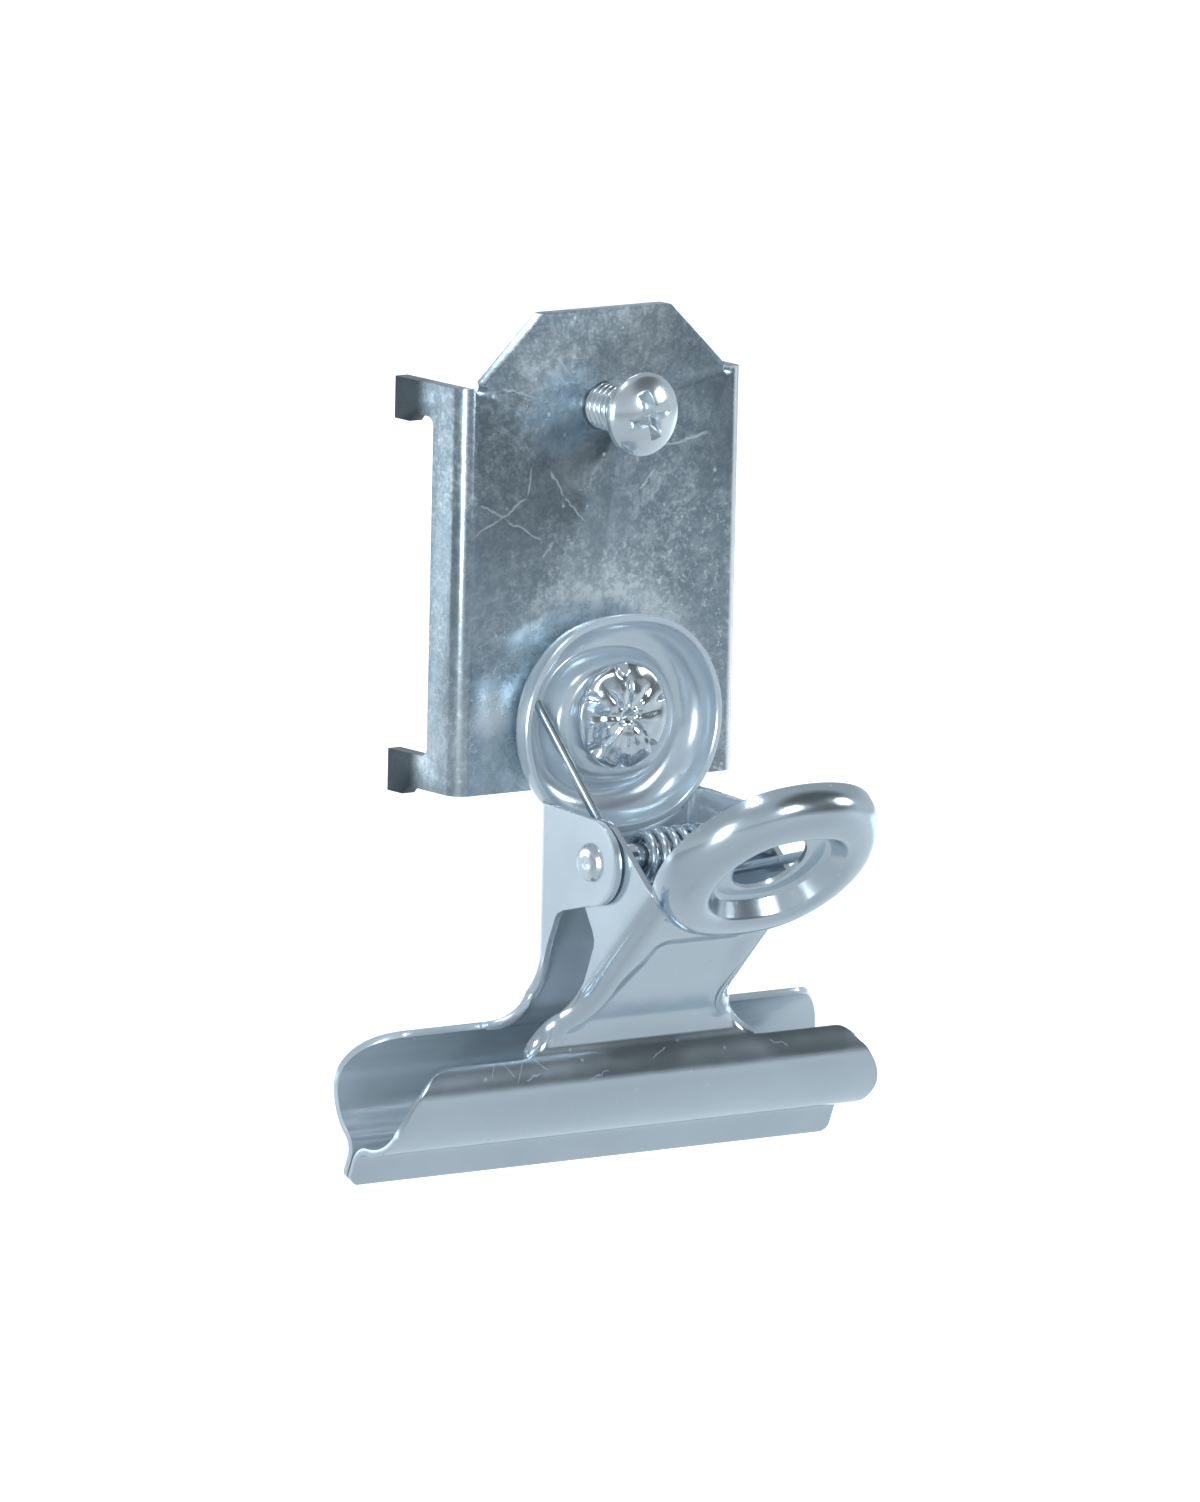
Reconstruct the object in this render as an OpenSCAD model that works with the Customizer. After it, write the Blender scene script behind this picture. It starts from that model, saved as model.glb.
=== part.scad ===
// Letter clip riveted to a sheet-steel bracket that hooks into a perforated panel.
// X is the width, +Y points back to the panel and +Z is up.
// The origin is on the panel's face, midway between the upper and the lower hooks.

/* [Bracket] */
// Width over the two flanges
plate_w = 35.3; // [34:0.1:45]
// Thickness of the bracket's sheet
plate_t = 1.5; // [1:0.1:1.7]
// Depth from the plate's front face to the panel
plate_depth = 5.1; // [4.6:0.1:8]
// Outer radius of the two bends
plate_bend = 1.8; // [1.7:0.1:2.4]
// Height of the plate at its sides, which ends flush with the hooks
plate_h = 41.4; // [41:0.2:46]
// Height of the tab above the shoulders
tab_h = 7.1; // [5:0.1:12]
// Width of the tab along its top edge
tab_top_w = 15.9; // [10:0.1:22]
// Set-back of the tab's foot from each side of the plate
tab_inset = 2.2; // [2:0.1:3]
// Radius of the upper corners of the tab
tab_corner = 0.9; // [0.3:0.1:2]
// Radius of the small relief at each foot of the tab
tab_relief = 0.7; // [0.4:0.1:0.9]

/* [Hooks] */
// Height of a hook's neck, which fits a hole of the panel
hook_neck = 3.4; // [2.6:0.1:4.4]
// Reach of the hooks behind the panel's face
hook_reach = 6.6; // [5.5:0.1:9]
// Thickness of panel that fits in front of a hook's barb
hook_slot = 3.1; // [1.5:0.1:4]
// Drop of the barb below the neck
hook_barb = 0.9; // [0.4:0.1:1.3]
// Rounding where a hook leaves its flange
hook_fillet = 1.0; // [0.5:0.1:1.5]

/* [Lock screw] */
// Depth of the screw's axis below the tab's foot
screw_down = 2.8; // [2.6:0.1:8]
// Diameter of the thread
screw_d = 5; // [4:0.5:6]
// Length under the head
screw_len = 11; // [10:0.5:14]
// Diameter of the head
head_d = 8.5; // [7.5:0.1:10]
// Height of the head
head_h = 2.2; // [2:0.1:3]
// Height of the head's straight side
head_wall = 0.8; // [0.6:0.1:1]
// Depth of the cross recess
recess_depth = 1.5; // [1:0.1:1.8]
// Width across the cross recess
recess_w = 5.4; // [4:0.1:6]
// Width of each slot of the cross recess
recess_slot = 1.3; // [0.8:0.1:1.6]

/* [Rivet] */
// Height of the rivet's axis above the plate's lower edge
rivet_up = 7.6; // [6:0.1:9]
// Height of the rivet's axis above the middle of the back ring
rivet_rise = 0.8; // [0:0.05:1.2]
// Diameter of the rivet's shank
rivet_d = 5.0; // [4:0.1:6]
// Diameter of the crimped front end
crimp_d = 11.0; // [9:0.1:11.5]
// Thickness of the crimped front end
crimp_h = 1.5; // [1:0.1:1.6]
// Diameter of the head behind the plate
rear_head_d = 8.6; // [7.5:0.1:10]
// Thickness of the head behind the plate
rear_head_h = 1.1; // [0.8:0.1:1.4]
// Number of folds in the crimped end
crimp_folds = 10; // [6:1:12]

/* [Clip body] */
// Sheet thickness of both leaves
leaf_t = 0.7; // [0.5:0.05:0.8]
// Distance from the middle of the back ring down to the pin's axis
pin_drop = 12.1; // [11.8:0.05:13]
// Tilt of the clip's middle plane, and of each handle from it
clip_tilt = 22; // [18:0.5:26]
// Distance from the pin's axis to the outer face of a leaf's neck
neck_out = 9.6; // [9.2:0.1:10.5]
// Half width over the back leaf's cheeks
cheek_half = 10.1; // [9.5:0.1:10.5]
// Outer radius of the bends along the neck
cheek_bend = 2.0; // [1.5:0.1:2.4]
// Radius of the ears round the pin
ear_r = 4.4; // [3.6:0.1:4.6]
// Depth of the narrow flange along the neck
flange_depth = 3.5; // [3:0.1:4.2]

/* [Handles] */
// Outer radius of the round halves of the handle rings
ring_r = 11.05; // [10.6:0.05:11.4]
// Length of the straight between the two halves, which makes a ring wider than high
ring_straight = 2.5; // [0.6:0.1:3]
// Height of the back ring's bead over the pin's axis
bead_out = 12.5; // [12.2:0.1:13]
// Height of the front ring's bead over the pin's axis
front_bead_out = 13.2; // [12.5:0.1:13.5]
// Radius of the bead's outer side
bead_r = 3.6; // [3:0.1:3.7]
// Radius of the bead's inner side
bead_inner_r = 1.2; // [1.1:0.1:1.5]
// Radius of the bend between the bead and the dish
dish_bend = 0.8; // [0.6:0.1:1]
// Depth of the dish below the bead
dish_depth = 2.4; // [1.8:0.1:2.6]
// Depth of the ring's rim, from the bead's crest to the cut edge
rim_depth = 4.2; // [3.8:0.1:4.6]
// Distance from the pin's axis to the middle of the front ring, along the handle
front_ring_rise = 12.6; // [12:0.1:14]
// Radius of the hole in the front ring
finger_hole_r = 4.1; // [3:0.1:4.5]

/* [Jaws] */
// Width of the jaws
jaw_w = 60; // [50:1:80]
// Outer radius of the rolled jaws
jaw_r = 6.15; // [5.5:0.05:6.5]
// Distance from the pin's axis to the centre of the roll
jaw_drop = 25.3; // [24.5:0.1:28]
// Radius of the bend between the neck and the roll
waist_r = 2.0; // [1.6:0.1:2.4]
// Radius of the bend between the roll and the lip
lip_bend = 1.8; // [1.4:0.1:2.2]
// Height of the flat lip
lip_h = 2.6; // [1.5:0.1:4]
// Radius of the jaws' upper corners
jaw_corner = 5.5; // [3:0.1:6]
// Radius of the lips' corners
lip_corner = 1; // [0.5:0.1:1.5]
// Radius of the sweep from the neck's edge to the jaw's top edge
flare_r = 7.0; // [5.5:0.1:8]

/* [Pin and spring] */
// Diameter of the pivot pin
pin_d = 3.0; // [2.4:0.1:3]
// Diameter of the pin's peened ends
pin_head_d = 3.9; // [3.6:0.1:4.4]
// Height of the pin's peened ends
pin_head_h = 0.7; // [0.4:0.1:1]
// Diameter of the spring's wire
wire_d = 1.0; // [0.8:0.05:1]
// Play between the coil's inside and the pin
coil_play = 0.4; // [0.3:0.05:0.6]
// Gap between one curl and the next
curl_gap = 0.45; // [0.45:0.05:0.6]
// Full turns of the coil, before its ends turn on to the legs
coil_turns = 6; // [4:1:6]
// Gap between a leg of the spring and the ring that it presses
leg_gap = 0.6; // [0.4:0.1:0.8]
// Height of a leg's end above the ring's centre
leg_rise = 2.7; // [1:0.05:4]
// Sideways spread of a leg's end from the clip's middle
leg_side = 9.4; // [7.5:0.1:9.4]

/* [Fits] */
// Radial clearance of the turning and sliding fits
turn_fit = 0.05; // [0.03:0.01:0.08]
// Radial clearance of the rivet and the pin in the sheet that holds them
set_fit = 0.02; // [0.01:0.01:0.03]
// Gap between the cheeks of the two leaves
cheek_gap = 0.2; // [0.15:0.05:0.3]
// Gap between the closed lips
lip_gap = 0.2; // [0.1:0.05:0.3]
// Gap between the rivet's crimped end and the ring
crimp_gap = 0.1; // [0.05:0.05:0.2]
// Gap between the back ring's bead and the plate
ring_gap = 0.3; // [0.2:0.05:0.4]

/* [Hidden] */
$fn = 64;

// Overrun of every cut past the face that it leaves
over = 1;
// Steps of an arc in a sheet's outline
arc_steps = 12;

// Planes of the bracket
plate_front = -plate_depth;
plate_back = plate_front + plate_t;
flange_x = plate_w/2 - plate_t;
plate_up = plate_h/2;
screw_z = plate_up - screw_down;
rivet_z = rivet_up - plate_up;

// Smooth shank that stands for the thread, and the drawn collar that holds it
thread_share = 0.97;
shank_r = screw_d/2*thread_share;
collar_wall = 1.1;
collar_h = 1.4;
recess_turn = 20;
// Share of the crimped end's thickness that its rolled edge takes
crimp_roll_share = 0.85;

// Axis of the pin, the leaves' own origin
pin_y = plate_front - ring_gap - bead_out;
pin_z = rivet_z - rivet_rise - pin_drop;

// The leaves' outlines, in Y out from the pin and Z up the handle
ear_rise = 0.4;
neck_step = 1.5;
ear_end_a = 262;
jaw_y = jaw_drop*sin(clip_tilt);
jaw_z = -jaw_drop*cos(clip_tilt);
lip_out = leaf_t + lip_gap/2;
waist_z = jaw_z + sqrt(pow(jaw_r + waist_r, 2) - pow(neck_out + waist_r - jaw_y, 2));
waist_a = atan2(jaw_z - waist_z, jaw_y - neck_out - waist_r) + 360;
lip_a = clip_tilt - acos((lip_out + lip_bend)/(jaw_r + lip_bend));
lip_y = jaw_y + (jaw_r + lip_bend)*cos(lip_a);
lip_z = jaw_z + (jaw_r + lip_bend)*sin(lip_a);
jaw_top = jaw_z + jaw_r*sin(waist_a - 180);
jaw_foot = lip_z - (lip_bend + leaf_t)*sin(clip_tilt) - lip_h*cos(clip_tilt);
dish_slope = 60;
flare_z = jaw_top + flare_r;
flare_sweep = 60;
front_half = cheek_half - leaf_t - cheek_gap;

// The spring's path
coil_r = pin_d/2 + coil_play + wire_d/2;
coil_pitch = wire_d + curl_gap;
curl_rings = 8;
wire_sides = 6;

function unit(a) = [cos(a), sin(a)];
function arc(centre, r, from, to, steps = arc_steps) =
    [for (i = [0:steps]) centre + r*unit(from + (to - from)*i/steps)];
function after_first(path) = [for (i = [1:len(path) - 1]) path[i]];
function reversed(path) = [for (i = [len(path) - 1:-1:0]) path[i]];
function left_of(v) = [-v[1], v[0]]/norm(v);
// The points of a path moved sideways by the sheet's thickness
function beside(path, distance) = [for (i = [0:len(path) - 1])
    path[i] + distance*left_of(path[min(i + 1, len(path) - 1)] - path[max(i - 1, 0)])];

// Sheet whose outer face follows a path
module sheet(path, t) {
    polygon(concat(path, reversed(beside(path, -t))));
}

// Lays a drawing of Y and Z across the width, centred on X
module along_x(length) {
    translate([-length/2, 0, 0]) rotate([90, 0, 90]) linear_extrude(length) children();
}

// Lays a drawing of X and Z between two depths
module along_y(from, to) {
    translate([0, to, 0]) rotate([90, 0, 0]) linear_extrude(to - from) children();
}

// Turns a form's height forwards, with its foot at a place on the middle plane
module facing_front(y, z) {
    translate([0, y, z]) rotate([90, 0, 0]) children();
}

// Round cap with a flat foot
module cap(d, h) {
    r = (d*d/4 + h*h)/(2*h);
    intersection() {
        cylinder(d = d, h = h);
        translate([0, 0, h - r]) sphere(r);
    }
}

module both_sides() {
    children();
    mirror([1, 0, 0]) children();
}

module both_ends() {
    children();
    mirror([0, 0, 1]) children();
}

// Bracket

module channel_section() {
    bend_x = plate_w/2 - plate_bend;
    bend_y = plate_front + plate_bend;
    translate([-bend_x, plate_front]) square([2*bend_x, plate_t]);
    both_sides() {
        translate([flange_x, bend_y]) square([plate_t, -bend_y]);
        intersection() {
            difference() {
                translate([bend_x, bend_y]) circle(plate_bend);
                translate([bend_x, bend_y]) circle(plate_bend - plate_t);
            }
            translate([bend_x, plate_front]) square(plate_bend);
        }
    }
}

// A hook in Y and Z, with the underside of its neck at height zero
module hook_outline() {
    polygon([
        [-over, 0], [hook_slot, 0], [hook_slot + hook_barb, -hook_barb],
        [hook_reach, -hook_barb], [hook_reach, hook_neck], [-over, hook_neck]
    ]);
}

// Web that rounds the corner between a flange's rear edge and a hook
module hook_web() {
    difference() {
        translate([-over, 0]) square([over + hook_fillet, hook_fillet]);
        translate([hook_fillet, hook_fillet]) circle(hook_fillet);
    }
}

module flange_hooks() {
    for (foot = [plate_up - hook_neck, -plate_up]) translate([0, foot]) hook_outline();
    translate([0, plate_up - hook_neck]) mirror([0, 1]) hook_web();
    translate([0, hook_neck - plate_up]) hook_web();
}

module tab_outline() {
    foot = plate_w/2 - tab_inset;
    top = plate_up + tab_h;
    slope = atan2(tab_h, foot - tab_top_w/2);
    setback = tab_corner*tan(slope/2);
    polygon(concat(
        [[-foot, plate_up - over], [foot, plate_up - over], [foot, plate_up]],
        arc([tab_top_w/2 - setback, top - tab_corner], tab_corner, 90 - slope, 90),
        arc([-tab_top_w/2 + setback, top - tab_corner], tab_corner, 90, 90 + slope),
        [[-foot, plate_up]]));
}

module bracket_plate() {
    color("slategray") difference() {
        union() {
            translate([0, 0, -plate_up]) linear_extrude(plate_h) channel_section();
            along_y(plate_front, plate_back) tab_outline();
            both_sides() translate([flange_x + plate_t/2, 0, 0]) along_x(plate_t) flange_hooks();
            facing_front(plate_back + collar_h, screw_z) cylinder(r = screw_d/2 + collar_wall, h = collar_h + plate_t/2);
        }
        facing_front(0, screw_z) cylinder(r = shank_r + turn_fit, h = plate_depth + over);
        facing_front(0, rivet_z) cylinder(r = rivet_d/2 + set_fit, h = plate_depth + over);
        both_sides() translate([plate_w/2 - tab_inset, 0, plate_up]) rotate([90, 0, 0])
            cylinder(r = tab_relief, h = plate_depth + over);
    }
}

// Screw and rivet

module lock_screw() {
    point = shank_r*(1 - thread_share)*8;
    color("silver") facing_front(0, screw_z) difference() {
        union() {
            translate([0, 0, point]) cylinder(r = shank_r, h = screw_len - point);
            cylinder(r1 = shank_r - point, r2 = shank_r, h = point);
            translate([0, 0, screw_len]) cylinder(d = head_d, h = head_wall);
            translate([0, 0, screw_len + head_wall]) cap(head_d, head_h - head_wall);
        }
        translate([0, 0, screw_len + head_h - recess_depth]) intersection() {
            for (turn = [recess_turn, recess_turn + 90]) rotate([0, 0, turn])
                translate([-recess_w/2, -recess_slot/2, 0]) cube([recess_w, recess_slot, recess_depth + over]);
            cylinder(r1 = recess_w/4, r2 = recess_w/2, h = recess_depth);
        }
    }
}

module rivet() {
    crimp_back = pin_y + bead_out - dish_depth - leaf_t - crimp_gap;
    crimp_r = crimp_d/2;
    roll_r = crimp_h*crimp_roll_share/2;
    fold_r = crimp_r*0.5;
    color("lightsteelblue") {
        translate([0, plate_back, rivet_z]) rotate([-90, 0, 0]) cap(rear_head_d, rear_head_h);
        difference() {
            union() {
                facing_front(plate_back, rivet_z) cylinder(d = rivet_d, h = plate_back - crimp_back);
                facing_front(crimp_back, rivet_z) {
                    rotate_extrude() {
                        square([crimp_r - roll_r, 2*roll_r]);
                        intersection() {
                            translate([crimp_r - roll_r, roll_r]) circle(roll_r);
                            translate([crimp_r - roll_r, 0]) square(2*roll_r);
                        }
                    }
                    translate([0, 0, 2*roll_r]) cap(crimp_d - 2*roll_r, crimp_h - 2*roll_r);
                }
            }
            facing_front(crimp_back, rivet_z) {
                for (i = [1:crimp_folds]) rotate([0, 0, 360*i/crimp_folds])
                    translate([crimp_r*0.3, 0, crimp_h + fold_r*0.75]) rotate([0, 90, 0])
                        cylinder(r = fold_r, h = crimp_r);
                translate([0, 0, crimp_h/2]) cylinder(r = wire_d/2, h = crimp_h);
            }
        }
    }
}

// Leaves, each drawn round the pin's axis as the back one lies

// Outer face of the sheet in Y and Z, from the neck down round the jaw to the lip
function leaf_path() = concat(
    [[neck_out, ear_r + ear_rise]],
    arc([neck_out + waist_r, waist_z], waist_r, 180, waist_a),
    after_first(arc([jaw_y, jaw_z], jaw_r, waist_a - 180, lip_a, 2*arc_steps)),
    after_first(arc([lip_y, lip_z], lip_bend, lip_a + 180, clip_tilt + 180)),
    [[lip_y, lip_z] - lip_bend*unit(clip_tilt) + lip_h*unit(clip_tilt - 90)]);

// The leaf seen square to its handle, without the rolled edges of the neck
module leaf_front(half) {
    flat = half - cheek_bend;
    difference() {
        union() {
            translate([-flat, flare_z]) square([2*flat, ear_r + ear_rise - flare_z]);
            translate([-flat - flare_r, jaw_top]) square([2*(flat + flare_r), flare_r]);
            translate([-jaw_half(), jaw_foot]) square([jaw_w, jaw_top - jaw_foot]);
        }
        both_sides() {
            translate([flat + flare_r, flare_z]) circle(flare_r);
            corner_waste(jaw_half(), jaw_top, jaw_corner);
            mirror([0, 1]) corner_waste(jaw_half(), -jaw_foot, lip_corner);
        }
    }
}
function jaw_half() = jaw_w/2;

// What a round corner leaves of a square one
module corner_waste(x, y, r) {
    difference() {
        translate([x - r, y - r]) square(r + over);
        translate([x - r, y - r]) circle(r);
    }
}

// Side of a cheek in Y and Z: the ear, the narrow flange and its run-out
module cheek_side() {
    inner = neck_out - flange_depth;
    polygon(concat(
        [[neck_out + over, ear_r + ear_rise], [neck_out, ear_r + ear_rise]],
        arc([0, 0], ear_r, 90, ear_end_a),
        [[inner - neck_step/2, -ear_r - neck_step], [inner, -ear_r - 2*neck_step]],
        [[neck_out - 3*leaf_t, flare_z], [neck_out - leaf_t, waist_z], [neck_out + over, waist_z]]));
}

// Rolled edge of the neck and its cheek in X and Y, for the side at +X
module cheek_section(half) {
    bend_x = half - cheek_bend;
    bend_y = neck_out - cheek_bend;
    translate([half - leaf_t, -ear_r - over]) square([leaf_t, bend_y + ear_r + over]);
    intersection() {
        difference() {
            translate([bend_x, bend_y]) circle(cheek_bend);
            translate([bend_x, bend_y]) circle(cheek_bend - leaf_t);
        }
        translate([bend_x, bend_y]) square(cheek_bend);
    }
}

module cheek(half) {
    centre = half - cheek_bend + flare_r;
    intersection() {
        along_x(2*(centre + over)) cheek_side();
        union() {
            translate([0, 0, flare_z]) linear_extrude(ear_r + ear_rise - flare_z) cheek_section(half);
            translate([centre, 0, flare_z]) mirror([1, 0, 0]) rotate([-90, 0, 0])
                rotate_extrude(angle = flare_sweep) mirror([1, 0]) translate([-centre, 0]) cheek_section(half);
        }
    }
}

// Outer face of a ring in radius and height, from its middle to the cut edge
function ring_path(out) = let (
    crest = ring_r - bead_r,
    dish = out - dish_depth,
    drop = dish_depth - dish_bend - bead_inner_r + (bead_inner_r + dish_bend)*cos(dish_slope),
    foot = crest - (bead_inner_r + dish_bend)*sin(dish_slope) - drop/tan(dish_slope)) concat(
    [[0, dish]],
    arc([foot, dish + dish_bend], dish_bend, -90, dish_slope - 90, arc_steps/2),
    arc([crest, out - bead_inner_r], bead_inner_r, 90 + dish_slope, 90, arc_steps/2),
    after_first(arc([crest, out - bead_r], bead_r, 90, 0)),
    [[ring_r, out - rim_depth]]);

// A ring's or its hole's outline, seen along its axis
module oval(r) {
    both_sides() translate([ring_straight/2, 0]) circle(r);
    square([ring_straight, 2*r], center = true);
}

module ring(rise, out, hole, hole_rise) {
    translate([0, 0, rise]) difference() {
        union() {
            both_sides() translate([ring_straight/2, 0, 0]) rotate([-90, 0, 0]) rotate([0, 0, -90])
                rotate_extrude(angle = 180, $fn = 96) sheet(ring_path(out), leaf_t);
            both_ends() translate([-ring_straight/2, 0, 0]) rotate([90, 0, 90])
                linear_extrude(ring_straight) mirror([1, -1]) sheet(ring_path(out), leaf_t);
        }
        translate([0, 0, hole_rise]) rotate([-90, 0, 0]) cylinder(r = hole, h = out);
    }
}

module leaf(half, rise, out, hole, hole_rise) {
    difference() {
        union() {
            intersection() {
                along_x(jaw_w + over) sheet(leaf_path(), leaf_t);
                along_y(0, neck_out + jaw_drop) leaf_front(half);
            }
            both_sides() cheek(half);
        }
        translate([0, 0, rise]) rotate([-90, 0, 0]) linear_extrude(neck_out + over) oval(ring_r - leaf_t/2);
    }
    ring(rise, out, hole, hole_rise);
}

module at_pin() {
    translate([0, pin_y, pin_z]) children();
}

module pin_hole(clearance) {
    rotate([0, 90, 0]) cylinder(d = pin_d + 2*clearance, h = 2*(cheek_half + over), center = true);
}

module back_leaf() {
    color("lightgray") at_pin() difference() {
        leaf(cheek_half, pin_drop, bead_out, rivet_d/2 + turn_fit, rivet_rise);
        pin_hole(set_fit);
    }
}

module front_leaf() {
    color("gainsboro") at_pin() mirror([0, cos(clip_tilt), sin(clip_tilt)]) difference() {
        leaf(front_half, front_ring_rise, front_bead_out, finger_hole_r, 0);
        pin_hole(turn_fit);
    }
}

module pivot_pin() {
    color("silver") at_pin() {
        rotate([0, 90, 0]) cylinder(d = pin_d, h = 2*cheek_half, center = true);
        both_sides() translate([cheek_half, 0, 0]) rotate([0, 90, 0]) cap(pin_head_d, pin_head_h);
    }
}

// Torsion spring

// Angle round the pin at which a leg leaves the coil for its end
function leg_out(out) = out - leaf_t - wire_d/2 - leg_gap;
function leave_angle(rise, out) = atan2(rise + leg_rise, leg_out(out))
    - acos(coil_r/norm([leg_out(out), rise + leg_rise]));
function round_pin(x, a) = [x, coil_r*cos(a), coil_r*sin(a)];
// The middle plane turns a back leg's place into a front one's
function across(p) = [-p[0], p[2]*sin(2*handle_a) + p[1]*cos(2*handle_a), p[1]*sin(2*handle_a) - p[2]*cos(2*handle_a)];
handle_a = 90 + clip_tilt;
start_a = leave_angle(pin_drop, bead_out);
end_a = leave_angle(front_ring_rise, front_bead_out);
coil_sweep = 360*coil_turns + 180 - 2*clip_tilt + start_a + end_a;
coil_len = coil_pitch*coil_sweep/360;
coil_steps = round(curl_rings*coil_sweep/360);
coil_path = [for (i = [0:coil_steps])
    round_pin(-coil_len/2 + coil_len*i/coil_steps, start_a - coil_sweep*i/coil_steps)];
function leg_path(rise, out) = let (
    foot = round_pin(-coil_len/2, leave_angle(rise, out)),
    tip = [-leg_side, leg_out(out), rise + leg_rise],
    back = (foot - tip)/norm(foot - tip)) [tip, tip + wire_d*back, foot - wire_d*back];
front_leg = [for (p = leg_path(front_ring_rise, front_bead_out)) across(p)];
spring_path = concat(leg_path(pin_drop, bead_out), coil_path, reversed(front_leg));

// Least distance between points of the coil that lie over half a curl apart
curl_gaps = [for (i = [0:coil_steps - 1], j = [i + curl_rings/2 + 1:1:coil_steps])
    norm(coil_path[i] - coil_path[j]) - wire_d];
echo(least_gap_of_the_spring_to_itself = min(curl_gaps));

module tube(path, d, sides) {
    last = len(path) - 1;
    rings = [for (i = [0:last]) let (
        t = path[min(i + 1, last)] - path[max(i - 1, 0)],
        n = cross(t, [1, 0, 0])/norm(cross(t, [1, 0, 0])),
        b = cross(n, t)/norm(t))
        for (k = [0:sides - 1]) path[i] + d/2*(cos(360*k/sides)*n + sin(360*k/sides)*b)];
    polyhedron(rings, concat(
        [for (i = [0:last - 1], k = [0:sides - 1]) let (a = i*sides + k, b = i*sides + (k + 1)%sides)
            each [[a, a + sides, b], [b, a + sides, b + sides]]],
        [for (k = [1:sides - 2]) each [[0, k, k + 1], [last*sides, last*sides + k + 1, last*sides + k]]]));
}

module torsion_spring() {
    color("dimgray") at_pin() tube(spring_path, wire_d, wire_sides);
}

bracket_plate();
lock_screw();
rivet();
back_leaf();
front_leaf();
pivot_pin();
torsion_spring();
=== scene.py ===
"""Letter clip on a bracket for a perforated panel, dressed for rendering.

Lengths are millimetres until they reach a mesh or a node; places of lights, floor and camera are metres.
"""
import math

import bmesh
import bpy
import numpy as np
from mathutils import Matrix, Vector


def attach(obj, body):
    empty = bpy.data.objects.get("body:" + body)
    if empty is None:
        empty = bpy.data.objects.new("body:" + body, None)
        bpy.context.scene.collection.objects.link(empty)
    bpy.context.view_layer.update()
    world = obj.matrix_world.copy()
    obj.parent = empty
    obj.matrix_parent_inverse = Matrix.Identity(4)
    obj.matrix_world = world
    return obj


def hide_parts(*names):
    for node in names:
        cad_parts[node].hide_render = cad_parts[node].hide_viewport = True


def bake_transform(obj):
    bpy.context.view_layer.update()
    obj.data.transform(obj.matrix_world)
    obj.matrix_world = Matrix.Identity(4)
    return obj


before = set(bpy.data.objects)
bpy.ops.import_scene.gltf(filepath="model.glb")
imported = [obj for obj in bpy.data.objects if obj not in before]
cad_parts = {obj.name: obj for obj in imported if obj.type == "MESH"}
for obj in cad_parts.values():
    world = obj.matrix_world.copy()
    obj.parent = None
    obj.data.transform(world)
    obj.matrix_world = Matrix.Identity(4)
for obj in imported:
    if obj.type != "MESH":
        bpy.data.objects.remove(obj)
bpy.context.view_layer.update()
MM = 0.001
TAU = 2 * math.pi

# Sizes that the part's source also has
PLATE_BACK = -3.6
RIVET_Z = -13.1
SCREW_Z = 17.9
SCREW_LEN = 11.0
HEAD_R = 4.25
HEAD_H = 2.2
HEAD_WALL = 0.8
CRIMP_R = 5.5
CRIMP_H = 1.5
TILT = math.radians(22)
PIN = np.array([0.0, -17.9, -26.0])
SHEET = 0.7
NECK_OUT = 9.6
CHEEK_BEND = 2.0
EAR_R = 4.4
BACK_HALF = 10.1
FRONT_HALF = 9.2
BACK_RISE = 12.1
FRONT_RISE = 12.6
RING_R = 11.05
RING_OFF = 1.25
BACK_BEAD = 12.5
FRONT_BEAD = 13.2
BEAD_R = 3.6
BEAD_INNER_R = 1.2
DISH_BEND = 0.8
DISH_SLOPE = 60
DISH_DEPTH = 2.4
RIM_DEPTH = 4.2
RIVET_RISE = 0.8
BACK_HOLE = 2.55
FRONT_HOLE = 4.1
JAW_HALF = 30.0
JAW_R = 6.15
JAW_DROP = 25.3
WAIST_R = 2.0
LIP_BEND = 1.8
LIP_H = 2.6
LIP_OUT = 0.8
JAW_CORNER = 5.5
LIP_CORNER = 1.0
FLARE_R = 7.0
PIN_R = 1.5

# Sizes of this file's own
PANEL_DEPTH = 0.34
WIRE_R = 0.52


# ---------------------------------------------------------------- meshes

def make(name, verts, faces, smooth=True):
    """A mesh object from places in millimetres."""
    mesh = bpy.data.meshes.new(name)
    mesh.from_pydata([tuple(float(c) * MM for c in v) for v in verts], [], faces)
    mesh.update()
    obj = bpy.data.objects.new(name, mesh)
    bpy.context.scene.collection.objects.link(obj)
    for poly in mesh.polygons:
        poly.use_smooth = smooth
    return obj


def grid_faces(rows, cols, start=0, closed=False):
    """Quads of a grid whose places are listed row by row."""
    faces = []
    for i in range(rows - 1):
        here = start + i * cols
        there = here + cols
        for j in range(cols if closed else cols - 1):
            k = (j + 1) % cols
            faces.append((here + j, here + k, there + k, there + j))
    return faces


def hoop_faces(steps, n):
    """Quads between the copies of a closed outline of n places, set round a full turn."""
    faces = []
    for k in range(steps):
        m = (k + 1) % steps
        for i in range(n):
            j = (i + 1) % n
            faces.append((k * n + i, k * n + j, m * n + j, m * n + i))
    return faces


def weld(obj, dist=0.004):
    """Joins the places that coincide and points the faces outwards."""
    bm = bmesh.new()
    bm.from_mesh(obj.data)
    bmesh.ops.remove_doubles(bm, verts=bm.verts, dist=dist * MM)
    bmesh.ops.recalc_face_normals(bm, faces=bm.faces)
    bm.to_mesh(obj.data)
    bm.free()


def settle(obj):
    """Replaces an object's mesh by what its modifiers make of it."""
    bpy.context.view_layer.update()
    graph = bpy.context.evaluated_depsgraph_get()
    mesh = bpy.data.meshes.new_from_object(obj.evaluated_get(graph))
    obj.modifiers.clear()
    obj.data = mesh


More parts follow.
